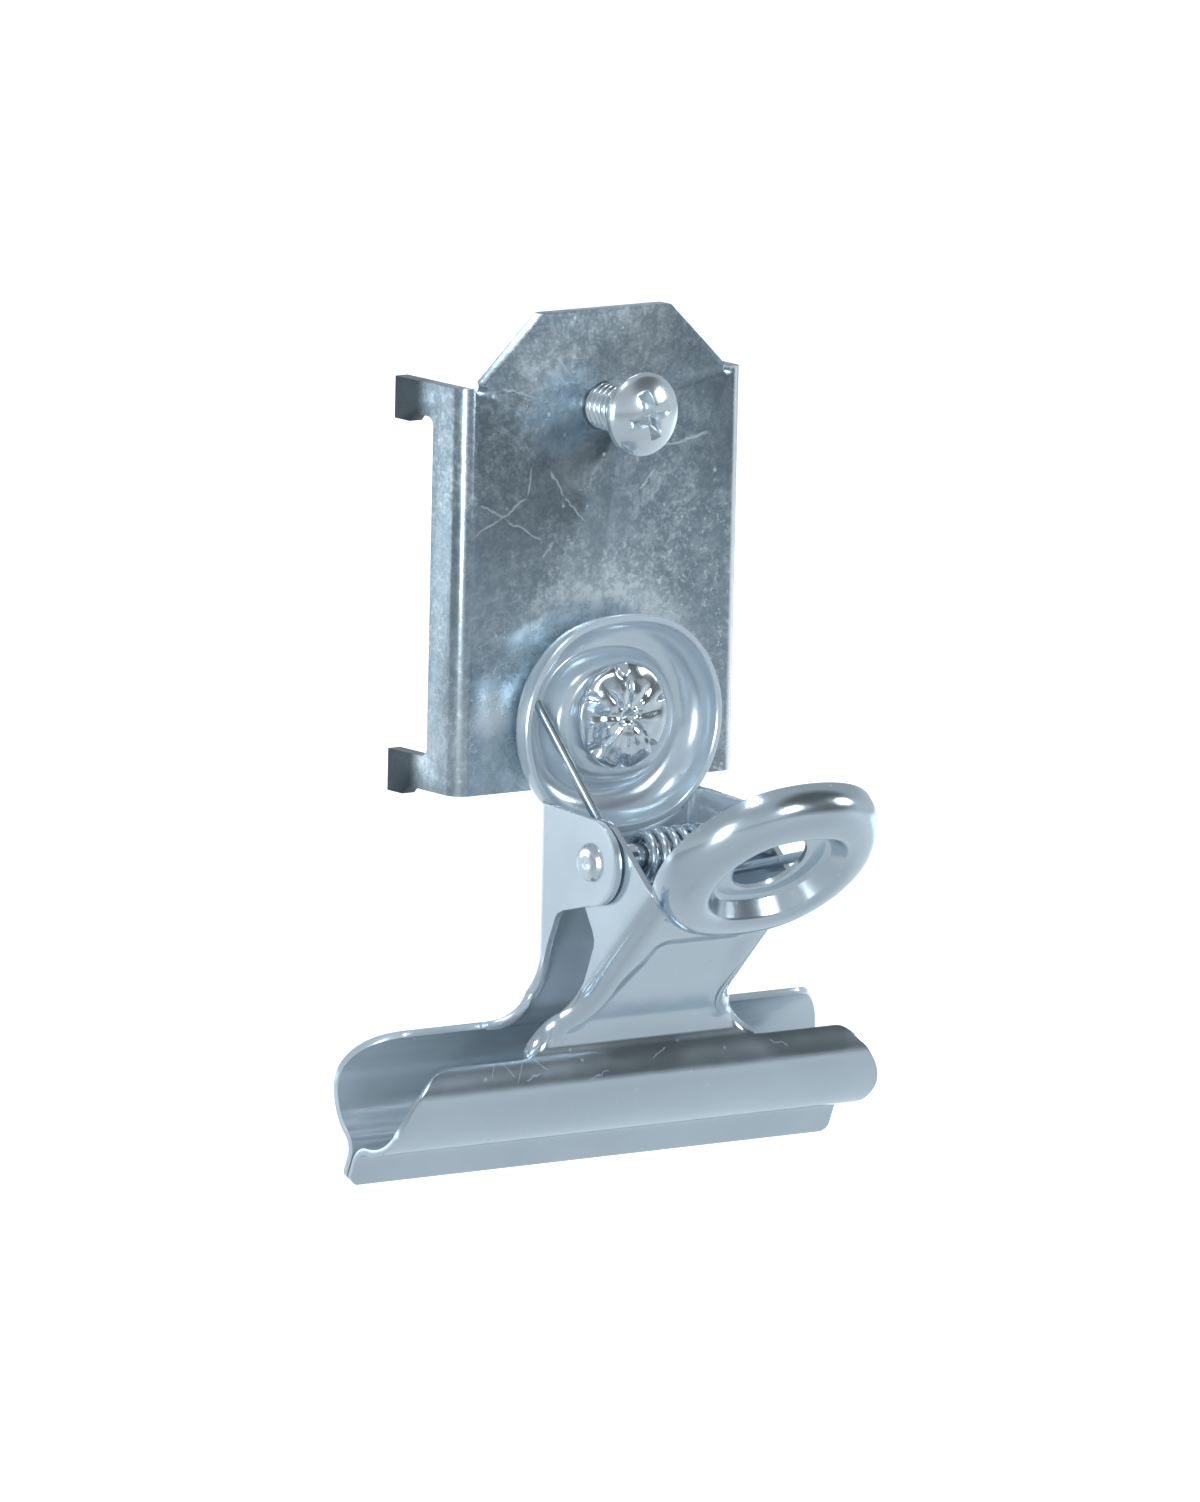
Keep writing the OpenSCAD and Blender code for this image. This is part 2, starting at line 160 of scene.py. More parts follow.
def by_angle(obj, degrees=35):
    """Shades smooth but keeps edges sharper than an angle."""
    mesh = obj.data
    bm = bmesh.new()
    bm.from_mesh(mesh)
    limit = math.radians(degrees)
    for edge in bm.edges:
        edge.smooth = not (len(edge.link_faces) == 2 and edge.calc_face_angle(0) > limit)
    for face in bm.faces:
        face.smooth = True
    bm.to_mesh(mesh)
    bm.free()


def bevel(obj, width, segments=2, degrees=40):
    """Adds a bevel to the edges sharper than an angle."""
    mod = obj.modifiers.new("edge", "BEVEL")
    mod.width = width * MM
    mod.segments = segments
    mod.limit_method = "ANGLE"
    mod.angle_limit = math.radians(degrees)
    mod.use_clamp_overlap = True
    mod.harden_normals = False


def revolve(profile, steps, name, place):
    """A closed outline of (radius, height) turned about its axis; place() puts (x, y, h) in the world."""
    verts = []
    for k in range(steps):
        a = TAU * k / steps
        for r, h in profile:
            verts.append(place(r * math.cos(a), r * math.sin(a), h))
    obj = make(name, verts, hoop_faces(steps, len(profile)))
    weld(obj, 0.002)
    return obj


def cap_points(r, h, base, count):
    """Places down a spherical cap of radius r and height h that stands on a base."""
    big = (r * r + h * h) / (2 * h)
    span = math.asin(r / big)
    return [(big * math.sin(span * (1 - t)), base + h - big + big * math.cos(span * (1 - t)))
            for t in np.linspace(0.06, 1.0, count)]


def arc_points(centre, r, start, end, count):
    """Places along an arc, angles in degrees."""
    return [(centre[0] + r * math.cos(math.radians(a)), centre[1] + r * math.sin(math.radians(a)))
            for a in np.linspace(start, end, count)]


def forwards(y, z):
    """Puts a form whose height points to the front at a place on the middle plane."""
    return lambda u, v, h: (u, y - h, z + v)


# ---------------------------------------------------------------- leaf

JAW_Y = JAW_DROP * math.sin(TILT)
JAW_Z = -JAW_DROP * math.cos(TILT)
WAIST_Y = NECK_OUT + WAIST_R
WAIST = (WAIST_Y, JAW_Z + math.sqrt((JAW_R + WAIST_R) ** 2 - (WAIST_Y - JAW_Y) ** 2))
WAIST_A = math.atan2(JAW_Z - WAIST[1], JAW_Y - WAIST[0]) + TAU
LIP_A = TILT - math.acos((LIP_OUT + LIP_BEND) / (JAW_R + LIP_BEND))
LIP = (JAW_Y + (JAW_R + LIP_BEND) * math.cos(LIP_A), JAW_Z + (JAW_R + LIP_BEND) * math.sin(LIP_A))
JAW_TOP = JAW_Z + JAW_R * math.sin(WAIST_A - math.pi)
FLARE_Z = JAW_TOP + FLARE_R
# Arcs below the neck: centre, radius, first and last angle
SPANS = [
    (WAIST, WAIST_R, math.pi, WAIST_A),
    ((JAW_Y, JAW_Z), JAW_R, WAIST_A - math.pi, LIP_A),
    (LIP, LIP_BEND, LIP_A + math.pi, TILT + math.pi),
]
LENGTHS = [abs(last - first) * r for _, r, first, last in SPANS]
JAW_S = LENGTHS[0]
END_S = sum(LENGTHS) + LIP_H


def along(s):
    """Place, outward normal and downward tangent in (y, z), s below the neck's end; negative s is up the neck."""
    if s <= 0:
        return np.array([NECK_OUT, WAIST[1] - s]), np.array([1.0, 0.0]), np.array([0.0, -1.0])
    for (c, r, a0, a1), length in zip(SPANS, LENGTHS):
        if s <= length:
            a = a0 + (a1 - a0) * s / length
            u = np.array([math.cos(a), math.sin(a)])
            turn = 1 if a1 > a0 else -1
            t = turn * np.array([-u[1], u[0]])
            n = -u if c is WAIST or c is LIP else u
            return np.array(c) + r * u, n, t
        s -= length
    u = np.array([math.cos(TILT), math.sin(TILT)])
    t = np.array([math.sin(TILT), -math.cos(TILT)])
    return np.array(LIP) - LIP_BEND * u + s * t, u, t


def s_at(z):
    """Distance along the sheet at a height, above the lip."""
    if z >= WAIST[1]:
        return WAIST[1] - z
    lo, hi = 0.0, END_S
    for _ in range(50):
        mid = (lo + hi) / 2
        if along(mid)[0][1] > z:
            lo = mid
        else:
            hi = mid
    return lo


def smooth_step(a, b, v):
    """Zero below a, one above b and smooth between."""
    t = min(1.0, max(0.0, (v - a) / (b - a)))
    return t * t * (3 - 2 * t)


def leaf_mesh(name, half, rise, out, panel):
    """Neck, curled edges with their ears, and jaw of a leaf, in the leaf's own frame."""
    flat = half - CHEEK_BEND
    edge = flat + FLARE_R
    fillet, sunk = 0.8, 0.05
    join_r = RING_R + fillet - sunk
    wall_top = out - BEAD_R
    z_edge_top = rise - math.sqrt(join_r ** 2 - (flat - RING_OFF) ** 2)

    def past_straight(x):
        """How far a place lies sideways of the nearer end of the ring's straight."""
        return math.copysign(max(0.0, abs(x) - RING_OFF), x)

    def inward(h):
        """How far the bead's side has turned in at a height."""
        return BEAD_R - math.sqrt(BEAD_R ** 2 - max(0.0, h - wall_top) ** 2)

    verts, faces = [], []

    def neck_point(x, z):
        p, n, _ = along(s_at(z))
        dip = panel(x, z)
        return (x, p[0] - dip * n[0], p[1] - dip * n[1])

    # Stations up the neck's edge: round the flare, then up to the ring
    phis = np.linspace(90, 0, 31)
    straight = np.linspace(FLARE_Z, z_edge_top, 34)[1:]
    ear = [EAR_R * math.sin(a) for a in np.radians(np.linspace(-90, 90, 45))]
    above_ear = np.linspace(EAR_R, EAR_R + 0.5, 6).round(5)[1:]
    below_ear = [-5.5, -5.75, -6.0, -6.3, -6.6, -7.0]
    heights = sorted(set([round(z, 5) for z in [*straight, *ear]] + below_ear + list(above_ear)))
    lower = [math.radians(p) for p in phis]
    upper = [z for z in heights if z <= z_edge_top + 0.001]

    # Neck, row by row
    cols = 57
    frac = np.sin(np.linspace(-math.pi / 2, math.pi / 2, cols)) * 0.35 + np.linspace(-1, 1, cols) * 0.65
    rows = []
    for v in lower:
        z, w = FLARE_Z - FLARE_R * math.sin(v), edge - FLARE_R * math.cos(v)
        rows.append([neck_point(f * w, z) for f in frac])
    for z in upper:
        share = (z - FLARE_Z) / (z_edge_top - FLARE_Z)
        row = []
        for f in frac:
            x = f * flat
            top = rise - math.sqrt(join_r ** 2 - past_straight(x) ** 2)
            row.append(neck_point(x, FLARE_Z + share * (top - FLARE_Z)))
        rows.append(row)
    for q in np.radians([15, 30, 45, 60, 74]):
        row = []
        for f in frac:
            x = f * flat
            side = past_straight(x)
            ux, uz = side / join_r, -math.sqrt(1 - (side / join_r) ** 2)
            h = NECK_OUT + fillet * (1 - math.cos(q))
            rho = join_r - fillet * math.sin(q) - inward(h)
            row.append((x - side + rho * ux, h, rise + rho * uz))
        rows.append(row)
    start = len(verts)
    for row in rows:
        verts += row
    faces += grid_faces(len(rows), cols, start)

    # Jaw, column by column
    corner = np.radians(np.linspace(90, 0, 17))
    xs = [JAW_HALF - JAW_CORNER + JAW_CORNER * math.sin(a) for a in corner]
    tops = [s_at(JAW_TOP - JAW_CORNER * (1 - math.cos(a))) for a in corner]
    between = np.linspace(JAW_HALF - JAW_CORNER, edge, 9)[1:-1]
    right = list(zip(xs, tops)) + [(x, JAW_S) for x in between]
    middle = [(f * edge, JAW_S) for f in frac]
    columns = [(-x, t) for x, t in right] + middle + [(x, t) for x, t in reversed(right)]
    count = 60
    jaw = []
    for x, top in columns:
        over = abs(x) - (JAW_HALF - LIP_CORNER)
        cut = LIP_CORNER * (1 - math.sqrt(max(0.0, 1 - (over / LIP_CORNER) ** 2))) if over > 0 else 0.0
        end = END_S - cut
        line = []
        for k in range(count):
            p = along(top + (end - top) * k / (count - 1))[0]
            line.append((x, p[0], p[1]))
        jaw.append(line)
    start = len(verts)
    for line in jaw:
        verts += line
    faces += grid_faces(len(jaw), count, start)

    # Curled edges and ears, station by station
    def depth_at(z):
        """How far the cheek reaches in from the neck's outer face at a height above the flare."""
        if z >= EAR_R:
            return NECK_OUT * max(0.0, 1 - (z - EAR_R) / 0.55)
        if z >= -EAR_R:
            return NECK_OUT + math.sqrt(EAR_R ** 2 - z * z)
        known = [(FLARE_Z, 2.2), (-9.0, 2.75), (-7.4, 3.45), (-6.6, 3.75), (-6.0, 4.2), (-5.5, 5.2), (-EAR_R, 9.6)]
        return float(np.interp(z, *zip(*known)))

    stations = []
    for v in lower:
        z = FLARE_Z - FLARE_R * math.sin(v)
        d = float(np.interp(math.degrees(v), [0, 20, 50, 80, 90], [2.2, 1.85, 1.35, 0.75, 0.3]))
        stations.append((v, z, d, 0.0))
    for z in heights:
        d = depth_at(z)
        begin = 0.0
        if z > z_edge_top:
            wall = RING_OFF + math.sqrt(max(0.0, (RING_R - 0.15) ** 2 - (z - rise) ** 2))
            begin = math.asin(min(1.0, max(0.0, (wall - flat) / CHEEK_BEND)))
        stations.append((0.0, z, d, begin))
    curl_n, deep_n = 9, 16
    for side in (1, -1):
        start = len(verts)
        for phi, z, d, begin in stations:
            p, n, t = along(s_at(z))
            ex = edge - FLARE_R * math.cos(phi) if phi > 0 else flat
            tx, tup = math.cos(phi), math.sin(phi)
            stop = math.acos(max(0.0, 1 - d / CHEEK_BEND)) if d < CHEEK_BEND else math.pi / 2
            stop = max(stop, begin + 0.02)
            extra = max(0.0, d - CHEEK_BEND)
            ways = []
            for k in range(curl_n):
                th = begin + (stop - begin) * k / (curl_n - 1)
                ways.append((CHEEK_BEND * math.sin(th), CHEEK_BEND * (1 - math.cos(th))))
            for k in range(1, deep_n):
                ways.append((CHEEK_BEND * math.sin(stop), CHEEK_BEND * (1 - math.cos(stop)) + extra * k / (deep_n - 1)))
            for o, dn in ways:
                verts.append((side * (ex + o * tx), *(p + o * tup * -t - dn * n)))
        faces += grid_faces(len(stations), curl_n + deep_n - 1, start)
    obj = make(name, verts, faces)
    weld(obj, 0.003)
    bm = bmesh.new()
    bm.from_mesh(obj.data)
    bmesh.ops.dissolve_degenerate(bm, edges=bm.edges, dist=0.003 * MM)
    centre = Vector((0, NECK_OUT * MM, -8 * MM))
    best = min(bm.faces, key=lambda f: (f.calc_center_median() - centre).length)
    bmesh.ops.recalc_face_normals(bm, faces=bm.faces)
    if best.normal.y < 0:
        bmesh.ops.reverse_faces(bm, faces=bm.faces)
    bm.to_mesh(obj.data)
    bm.free()
    mod = obj.modifiers.new("sheet", "SOLIDIFY")
    mod.thickness = SHEET * MM
    mod.offset = -1
    mod.use_even_offset = False
    bevel(obj, 0.13, 2, 50)
    settle(obj)
    return obj


def ring_profile(hole, out):
    """Closed outline of a ring's sheet in radius and height, with softened edges, and the dish's radius."""
    e, wall = 0.12, 0.4
    crest, dish, slope = RING_R - BEAD_R, out - DISH_DEPTH, math.radians(DISH_SLOPE)
    bends = BEAD_INNER_R + DISH_BEND
    drop = DISH_DEPTH - bends + bends * math.cos(slope)
    foot = crest - bends * math.sin(slope) - drop / math.tan(slope)
    outer = [(hole + e + (foot - hole) * t, dish) for t in (0.0, 0.2, 0.4, 0.6, 0.8)]
    outer += arc_points((foot, dish + DISH_BEND), DISH_BEND, -90, DISH_SLOPE - 90, 9)
    outer += arc_points((crest, out - BEAD_INNER_R), BEAD_INNER_R, 90 + DISH_SLOPE, 90, 13)
    outer += arc_points((crest, out - BEAD_R), BEAD_R, 90, 0, 25)[1:]
    outer += [(RING_R, out - BEAD_R - wall), (RING_R, out - RIM_DEPTH + e)]
    path = np.array(outer)
    tangent = np.gradient(path, axis=0)
    tangent /= np.linalg.norm(tangent, axis=1)[:, None]
    inner = path - SHEET * np.stack([-tangent[:, 1], tangent[:, 0]], axis=1)
    end = [(RING_R - e, out - RIM_DEPTH), (RING_R - SHEET + e, out - RIM_DEPTH)]
    begin = [(hole, dish - SHEET + e), (hole, dish - e)]
    return [tuple(p) for p in path] + end + [tuple(p) for p in inner][::-1] + begin, foot


def ring_mesh(name, rise, hole, out, hole_rise):
    """A ring that is wider than high, round a round hole."""
    profile, foot = ring_profile(hole, out)
    steps, verts = 192, []
    for k in range(steps):
        c, s = math.cos(TAU * k / steps), math.sin(TAU * k / steps)
        side = math.sin(max(-1.0, min(1.0, c / 0.5)) * math.pi / 2)
        for r, h in profile:
            full = smooth_step(hole, foot - 0.1, r)
            verts.append((RING_OFF * side * full + r * c, h, rise + r * s + hole_rise * (1 - full)))
    obj = make(name, verts, hoop_faces(steps, len(profile)))
    weld(obj, 0.002)
    return obj


def back_place(x, y, z):
    """Puts a place in the back leaf's frame in the world."""
    return (x, PIN[1] + y, PIN[2] + z)


def front_place(x, y, z):
    """Puts a place in the front leaf's frame in the world."""
    c, s = math.cos(2 * TILT), math.sin(2 * TILT)
    return (x, PIN[1] - c * y - s * z, PIN[2] - s * y + c * z)


def carry(obj, place):
    """Moves a mesh from a leaf's own frame into the world's."""
    for v in obj.data.vertices:
        v.co = Vector(place(v.co.x / MM, v.co.y / MM, v.co.z / MM)) * MM
    if place is front_place:
        obj.data.flip_normals()
    obj.data.update()


def leaf(name, half, rise, hole, hole_rise, out, place, panel):
    """A leaf's sheet and its ring, both in the world."""
    body = leaf_mesh(name, half, rise, out, panel)
    carry(body, place)
    by_angle(body, 30)
    ring = ring_mesh(name + "_ring", rise, hole, out, hole_rise)
    carry(ring, place)
    by_angle(ring, 40)
    return body, ring


def no_panel(x, z):
    """A plain neck."""
    return 0.0


def front_panel(x, z):
    """The shallow sunk panel on the front neck, deepest in the middle."""
    half = float(np.interp(z, [-15.0, -5.0, 1.0], [9.6, 7.0, 6.2]))
    side = 1 - smooth_step(half - 2.4, half, abs(x))
    low = smooth_step(-16.6, -14.2, z)
    high = 1 - smooth_step(-2.8, -0.4, z)
    return PANEL_DEPTH * side * low * high


back_body, back_ring = leaf("back_leaf_sheet", BACK_HALF, BACK_RISE, BACK_HOLE, RIVET_RISE, BACK_BEAD,
                            back_place, no_panel)
front_body, front_ring = leaf("front_leaf_sheet", FRONT_HALF, FRONT_RISE, FRONT_HOLE, 0.0, FRONT_BEAD,
                              front_place, front_panel)


# ---------------------------------------------------------------- bracket

def bracket():
    """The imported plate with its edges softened."""
    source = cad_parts["bracket_plate"]
    obj = bpy.data.objects.new("bracket_sheet", source.data.copy())
    bpy.context.scene.collection.objects.link(obj)
    obj.data.materials.clear()
    bm = bmesh.new()
    bm.from_mesh(obj.data)
    bmesh.ops.remove_doubles(bm, verts=bm.verts, dist=0.001 * MM)
    bmesh.ops.dissolve_limit(bm, angle_limit=math.radians(1), verts=bm.verts, edges=bm.edges)
    bmesh.ops.recalc_face_normals(bm, faces=bm.faces)
    bm.to_mesh(obj.data)
    bm.free()
    bevel(obj, 0.14, 3, 40)
    settle(obj)
    by_angle(obj, 30)
    return obj


plate = bracket()


# ---------------------------------------------------------------- screw

def screw():
    """The threaded shank, and the domed head with its cross recess."""
    pitch, major, depth = 0.8, 2.43, 0.42
    length, turns, per = SCREW_LEN, 64, 12
    place = forwards(0, SCREW_Z)
    rows = int(length / pitch * per)
    verts = []
    for i in range(rows + 1):
        h = length * i / rows
        taper = min(1.0, 0.7 + h / 2.0)
        for k in range(turns):
            a = TAU * k / turns
            phase = (h / pitch - k / turns) % 1.0
            tooth = smooth_step(0.08, 0.92, abs(phase - 0.5) * 2)
            r = (major - depth * tooth) * taper
            verts.append(place(r * math.cos(a), r * math.sin(a), h))
    verts.append(place(0, 0, 0))
    verts.append(place(0, 0, length))
    faces = grid_faces(rows + 1, turns, 0, True)
    tip, top = len(verts) - 2, len(verts) - 1
    for k in range(turns):
        faces.append((tip, (k + 1) % turns, k))
        faces.append((top, rows * turns + k, rows * turns + (k + 1) % turns))
    shank = make("screw_thread", verts, faces)
    weld(shank)
    by_angle(shank, 60)

    wall, height, r, e = HEAD_WALL, HEAD_H, HEAD_R, 0.16
    outline = [(0.0, length), (1.5, length), (r - e, length)]
    outline += arc_points((r - e, length + e), e, 270, 360, 5)[1:]
    outline += arc_points((r - e, length + wall - e), e, 0, 60, 5)
    outline += cap_points(r, height - wall, length + wall, 16)
    verts, faces = [], []
    steps = 96
    for rr, hh in outline:
        for k in range(steps):
            a = TAU * k / steps
            verts.append(place(rr * math.cos(a), rr * math.sin(a), hh))
    faces = grid_faces(len(outline), steps, 0, True)
    head = make("screw_head", verts, faces)
    weld(head)

    # Cross recess: two crossed wedges that narrow to the bottom
    mouth, floor_h = length + height + 0.4, length + height - 1.5
    cut_v, cut_f = [], []
    for turn in (math.radians(20), math.radians(110)):
        cu, su = math.cos(turn), math.sin(turn)
        base = len(cut_v)
        for h, reach, half in ((mouth, 3.5, 0.86), (floor_h, 1.5, 0.44)):
            for u, v in ((-reach, -half), (reach, -half), (reach, half), (-reach, half)):
                cut_v.append(place(u * cu - v * su, u * su + v * cu, h))
        cut_f += [(base, base + 1, base + 2, base + 3), (base + 7, base + 6, base + 5, base + 4)]
        for k in range(4):
            m = (k + 1) % 4
            cut_f.append((base + k, base + 4 + k, base + 4 + m, base + m))
    cutter = make("recess_cutter", cut_v, cut_f, False)
    weld(cutter)
    mod = head.modifiers.new("recess", "BOOLEAN")
    mod.operation = "DIFFERENCE"
    mod.solver = "EXACT"
    mod.use_self = True
    mod.object = cutter
    bevel(head, 0.1, 2, 35)
    settle(head)
    bpy.data.objects.remove(cutter)
    by_angle(head, 32)
    return shank, head


screw_thread, screw_head = screw()


# ---------------------------------------------------------------- rivet and pin

def height_disc(name, radius, rings, steps, height, rim, under, place):
    """A disc with a height for every radius and angle, closed below by rings of (share of the radius, height)."""
    verts = [place(0, 0, height(0, 0))]
    for i in range(1, rings + 1):
        for k in range(steps):
            a = TAU * k / steps
            r = radius * i / rings * rim(a, i / rings)
            verts.append(place(r * math.cos(a), r * math.sin(a), height(i / rings, a)))
    faces = [(0, 1 + k, 1 + (k + 1) % steps) for k in range(steps)]
    faces += grid_faces(rings, steps, 1, True)
    last = 1 + (rings - 1) * steps
    for share, h in under:
        base = len(verts)
        for k in range(steps):
            a = TAU * k / steps
            r = radius * rim(a, 1.0) * share
            verts.append(place(r * math.cos(a), r * math.sin(a), h))
        for k in range(steps):
            m = (k + 1) % steps
            faces.append((last + k, base + k, base + m, last + m))
        last = base
    faces.append(tuple(last + k for k in range(steps)))
    obj = make(name, verts, faces)
    weld(obj, 0.001)
    return obj


def rivet():
    """Hollow rivet, its front end crimped into petals round a small dimple."""
    rng = np.random.default_rng(7)
    petals = 8
    sizes = rng.uniform(0.6, 1.3, petals)
    turns = rng.uniform(-0.16, 0.16, petals)
    torn = ((97, 0.10), (152, 0.05), (222, 0.11), (268, 0.08), (318, 0.05), (20, 0.04))
    notches = [(math.radians(a), w) for a, w in torn]
    air = 0.08
    back = PIN[1] + BACK_BEAD - DISH_DEPTH - SHEET - air

    def apart(a, b):
        """The smaller angle between two directions."""
        return abs((a - b + math.pi) % TAU - math.pi)

    def height(t, a):
        r = t * CRIMP_R
        gap, size = min((apart(a, TAU * i / petals + turns[i]), sizes[i]) for i in range(petals))
        dome = CRIMP_H * (0.5 + 0.5 * math.sqrt(max(0.0, 1 - t ** 3.2)))
        crease = math.exp(-(gap * r / 0.34) ** 2) * smooth_step(0.4, 1.3, r) * (1 - smooth_step(2.9, 4.6, r))
        bump = 0.10 * size * math.exp(-((r - 2.3) / 0.9) ** 2) + 0.09 * math.exp(-((r - 0.95) / 0.28) ** 2)
        dimple = 0.42 * math.exp(-(r / 0.5) ** 2)
        cut = max(0.75 * math.exp(-(apart(a, c) / w) ** 2) for c, w in notches) * smooth_step(3.9, 5.2, r)
        wave = 0.05 * math.cos(9 * a + 1.3) * smooth_step(2.6, 4.2, r)
        swirl = 0.032 * math.cos(6 * a - 1.5 * r) * math.cos(2.3 * r + 3 * a) * smooth_step(0.9, 2.0, r)
        return max(0.2, dome - 0.13 * size * crease + bump - dimple - cut + wave + swirl)

    def rim(a, t):
        cut = max(math.exp(-(apart(a, c) / w) ** 2) for c, w in notches)
        return 1 - (0.05 * cut + 0.008 * math.cos(9 * a + 1.3)) * smooth_step(0.5, 1.0, t)

    place = forwards(back, RIVET_Z)
    star = height_disc("rivet_star", CRIMP_R, 40, 288, height, rim, ((0.985, 0.4), (0.93, 0.12), (0.86, 0.0)), place)
    by_angle(star, 60)
    length = PLATE_BACK - back
    shank = revolve([(0.0, -length), (2.5, -length), (2.5, 0.3), (0.0, 0.3)], 64, "rivet_shank", place)
    by_angle(shank, 40)
    r, h, foot = 4.3, 1.1, 0.1
    outline = [(0.0, 0.0), (r - 0.12, 0.0), (r, foot)] + cap_points(r, h, foot, 14)
    head = revolve(outline, 72, "rivet_rear_head", lambda u, v, q: (u, PLATE_BACK + q, RIVET_Z + v))
    by_angle(head, 50)
    return star, shank, head


rivet_star, rivet_shank, rivet_head = rivet()


def pivot_pin():
    """Pin with a peened end on each side."""
    shank = revolve([(0.0, -BACK_HALF), (PIN_R, -BACK_HALF), (PIN_R, BACK_HALF), (0.0, BACK_HALF)], 48, "pin_shank",
                    lambda u, v, h: (h, PIN[1] + u, PIN[2] + v))
    by_angle(shank, 40)
    ends = []
    for side, name in ((-1, "pin_end_left"), (1, "pin_end_right")):
        rng = np.random.default_rng(11 + side)
        wobble = rng.uniform(-0.05, 0.05, 9)

        def height(t, a):
            tap = sum(w * math.cos((i + 1) * a + 7 * w) for i, w in enumerate(wobble[:4]))
            dome = 0.72 * (1 - 0.35 * t ** 2) * (1 - smooth_step(0.82, 1.0, t) * 0.6)
            return dome + tap * t * 0.5 - 0.06 * (1 - smooth_step(0.1, 0.5, t))

        def rim(a, t):
            return 1 + 0.03 * math.cos(3 * a + side)

        obj = height_disc(name, 1.95, 14, 72, height, rim, ((0.97, 0.0),),
                          lambda u, v, h, s=side: (s * (BACK_HALF - 0.02 + h), PIN[1] + u, PIN[2] + v * s))
        weld(obj, 0.001)
        by_angle(obj, 60)
        ends.append(obj)
    return shank, ends[0], ends[1]


pin_shank, pin_left, pin_right = pivot_pin()


# ---------------------------------------------------------------- spring

def wire_path():
    """Places along the spring's wire, from the back leg's tip round the coil to the front leg's tip."""
    coil_r, pitch, turns = 2.4, 1.45, 6

    def leg_tip(rise, bead):
        return bead - SHEET - 0.5 - 0.6, rise + 2.7

    def leave(tip):
        return math.atan2(tip[1], tip[0]) - math.acos(coil_r / math.hypot(*tip))

    back_tip, front_tip = leg_tip(BACK_RISE, BACK_BEAD), leg_tip(FRONT_RISE, FRONT_BEAD)
    a0, a1 = leave(back_tip), leave(front_tip)
    sweep = TAU * turns + math.pi - 2 * TILT + a0 + a1
    length = pitch * sweep / TAU
    steps = 28 * turns
    coil = []
    for i in range(steps + 1):
        a = a0 - sweep * i / steps
        coil.append(back_place(-length / 2 + length * i / steps, coil_r * math.cos(a), coil_r * math.sin(a)))

    def leg(end, place, side, angle):
        """Places from a leg's tip to where it meets the coil."""
        foot = np.array([side * -length / 2, coil_r * math.cos(angle), coil_r * math.sin(angle)])
        tip = np.array([side * -9.4, *end])
        return [place(*(tip + (foot - tip) * t)) for t in (0.0, 0.25, 0.5, 0.75, 0.93)]

    back = leg(back_tip, back_place, 1, a0)
    front = leg(front_tip, front_place, -1, a1)
    return [np.array(p) for p in back + coil + front[::-1]]


def tube(name, path, radius, sides):
    """A round wire along places."""
    verts = []
    pts = [Vector(p) for p in path]
    n = len(pts)
    normal = None
    for i, p in enumerate(pts):
        t = (pts[min(i + 1, n - 1)] - pts[max(i - 1, 0)]).normalized()
        if normal is None:
            normal = t.cross(Vector((1, 0, 0))).normalized()
        normal = (normal - t * normal.dot(t)).normalized()
        b = t.cross(normal)
        shrink = 0.86 if i in (0, n - 1) else 1.0
        for k in range(sides):
            a = TAU * k / sides
            verts.append(p + (normal * math.cos(a) + b * math.sin(a)) * radius * shrink)
    faces = grid_faces(n, sides, 0, True)
    faces.append(tuple(range(sides))[::-1])
    faces.append(tuple((n - 1) * sides + k for k in range(sides)))
    obj = make(name, verts, faces)
    weld(obj, 0.0005)
    by_angle(obj, 50)
    return obj


spring = tube("spring_wire", wire_path(), WIRE_R, 16)


# ---------------------------------------------------------------- materials

